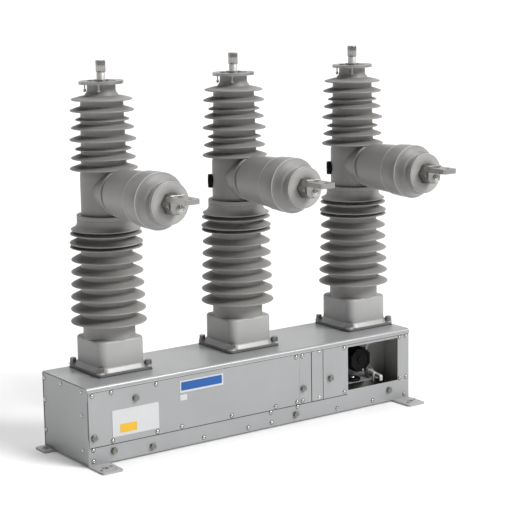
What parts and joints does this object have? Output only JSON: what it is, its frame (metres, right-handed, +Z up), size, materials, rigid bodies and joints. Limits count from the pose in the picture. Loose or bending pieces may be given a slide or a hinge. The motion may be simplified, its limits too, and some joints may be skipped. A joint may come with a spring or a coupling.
{
  "type": "outdoor vacuum circuit breaker",
  "caption": "Outdoor medium-voltage circuit breaker: solid-insulated poles with ribbed sheds, side bushings and terminals on a long sheet-metal mechanism housing.",
  "frame": {"origin": "middle of the bounding box on the ground plane under the mounting feet", "axes": "+X along the housing towards the window end, -Y out of the front and along the side bushings, +Z up the poles"},
  "size_m": [1.232, 0.5695, 1.118],
  "materials": {
    "insulator": "satin moulded weather-resistant insulation",
    "bushing": "satin moulded insulation, a little lighter",
    "housing_sheet": "powder-coated sheet steel, satin",
    "cast_plate": "painted cast metal, satin",
    "terminal": "tin-plated, lightly brushed",
    "flange_metal": "cast, bead-blasted",
    "fastener": "zinc-plated steel",
    "dark_plug": "black moulded plastic",
    "gasket": "black rubber",
    "bottle": "glazed alumina bottle",
    "copper": "copper alloy contact",
    "push_rod": "glass-fibre reinforced epoxy",
    "mechanism": "machined steel",
    "magnet": "painted magnetic actuator",
    "spring_steel": "oiled spring steel",
    "inner_sheet": "dark grey painted inner sheet",
    "label_white": "printed label film",
    "name_blue": "plain coloured plate"
  },
  "bodies": {
    "housing": {"lower_insulator_left": "insulator", "upper_housing_left": "insulator", "side_bushing_left": "bushing", "side_terminal_left": "terminal", "top_terminal_left": "terminal", "top_flange_left": "flange_metal", "vacuum_interrupter_left": "bottle", "base_plate_left": "cast_plate", "lower_insulator_centre": "insulator", "upper_housing_centre": "insulator", "side_bushing_centre": "bushing", "side_terminal_centre": "terminal", "top_terminal_centre": "terminal", "top_flange_centre": "flange_metal", "vacuum_interrupter_centre": "bottle", "base_plate_centre": "cast_plate", "lower_insulator_right": "insulator", "upper_housing_right": "insulator", "side_bushing_right": "bushing", "side_terminal_right": "terminal", "top_terminal_right": "terminal", "top_flange_right": "flange_metal", "vacuum_interrupter_right": "bottle", "base_plate_right": "cast_plate", "base_bolts": "fastener", "base_gaskets": "gasket", "flange_nuts": "fastener", "sensor_plugs": "dark_plug", "base_tray": "housing_sheet", "front_frame": "housing_sheet", "front_cover": "housing_sheet", "joint_strip": "housing_sheet", "access_cover": "housing_sheet", "top_cover": "housing_sheet", "left_end_cover": "housing_sheet", "right_end_cover": "housing_sheet", "mounting_feet": "housing_sheet", "label_plate": "label_white", "nameplate": "name_blue", "panel_screws": "fastener", "panel_bolts": "fastener", "shaft_bearings": "mechanism", "actuator_body": "magnet", "opening_spring": "spring_steel", "compartment_wall": "inner_sheet", "receptacle": "dark_plug", "receptacle_bracket": "inner_sheet", "cable_gland": "dark_plug"},
    "shaft": {"main_shaft": "mechanism"},
    "plunger": {"actuator_plunger": "mechanism"},
    "trip": {"trip_lever": "fastener"},
    "drive_left": {"drive_rod_left": "push_rod", "contact_spring_left": "spring_steel"},
    "contact_left": {"moving_contact_left": "copper"},
    "drive_centre": {"drive_rod_centre": "push_rod", "contact_spring_centre": "spring_steel"},
    "contact_centre": {"moving_contact_centre": "copper"},
    "drive_right": {"drive_rod_right": "push_rod", "contact_spring_right": "spring_steel"},
    "contact_right": {"moving_contact_right": "copper"}
  },
  "joints": [
    {"name": "shaft_turn", "type": "hinge", "parent": "housing", "child": "shaft", "pos_m": [0, 0.13525, 0.14], "axis": [1, 0, 0], "range_deg": [0, 17.2], "stiffness_Nm_per_rad": 12, "springref_deg": -14.32},
    {"name": "plunger_slide", "type": "slide", "parent": "housing", "child": "plunger", "axis": [0, 0, 1], "range_m": [0, 0.012], "deforming": ["opening_spring"]},
    {"name": "drive_slide_left", "type": "slide", "parent": "housing", "child": "drive_left", "axis": [0, 0, 1], "range_m": [0, 0.012]},
    {"name": "contact_slide_left", "type": "slide", "parent": "housing", "child": "contact_left", "axis": [0, 0, 1], "range_m": [0, 0.01], "deforming": ["contact_spring_left"]},
    {"name": "drive_slide_centre", "type": "slide", "parent": "housing", "child": "drive_centre", "axis": [0, 0, 1], "range_m": [0, 0.012]},
    {"name": "contact_slide_centre", "type": "slide", "parent": "housing", "child": "contact_centre", "axis": [0, 0, 1], "range_m": [0, 0.01], "deforming": ["contact_spring_centre"]},
    {"name": "drive_slide_right", "type": "slide", "parent": "housing", "child": "drive_right", "axis": [0, 0, 1], "range_m": [0, 0.012]},
    {"name": "contact_slide_right", "type": "slide", "parent": "housing", "child": "contact_right", "axis": [0, 0, 1], "range_m": [0, 0.01], "deforming": ["contact_spring_right"]},
    {"name": "trip_pull", "type": "hinge", "parent": "housing", "child": "trip", "pos_m": [0.466, 0.072, 0.098], "axis": [-1, 0, 0], "range_deg": [0, 35], "stiffness_Nm_per_rad": 0.4, "springref_deg": -20.05}
  ],
  "couplings": [
    {"joint": "plunger_slide", "follows": "shaft_turn", "m_per_rad": 0.03997},
    {"joint": "drive_slide_left", "follows": "shaft_turn", "m_per_rad": 0.03997},
    {"joint": "contact_slide_left", "follows": "shaft_turn", "m_per_rad": 0.03331},
    {"joint": "drive_slide_centre", "follows": "shaft_turn", "m_per_rad": 0.03997},
    {"joint": "contact_slide_centre", "follows": "shaft_turn", "m_per_rad": 0.03331},
    {"joint": "drive_slide_right", "follows": "shaft_turn", "m_per_rad": 0.03997},
    {"joint": "contact_slide_right", "follows": "shaft_turn", "m_per_rad": 0.03331}
  ]
}
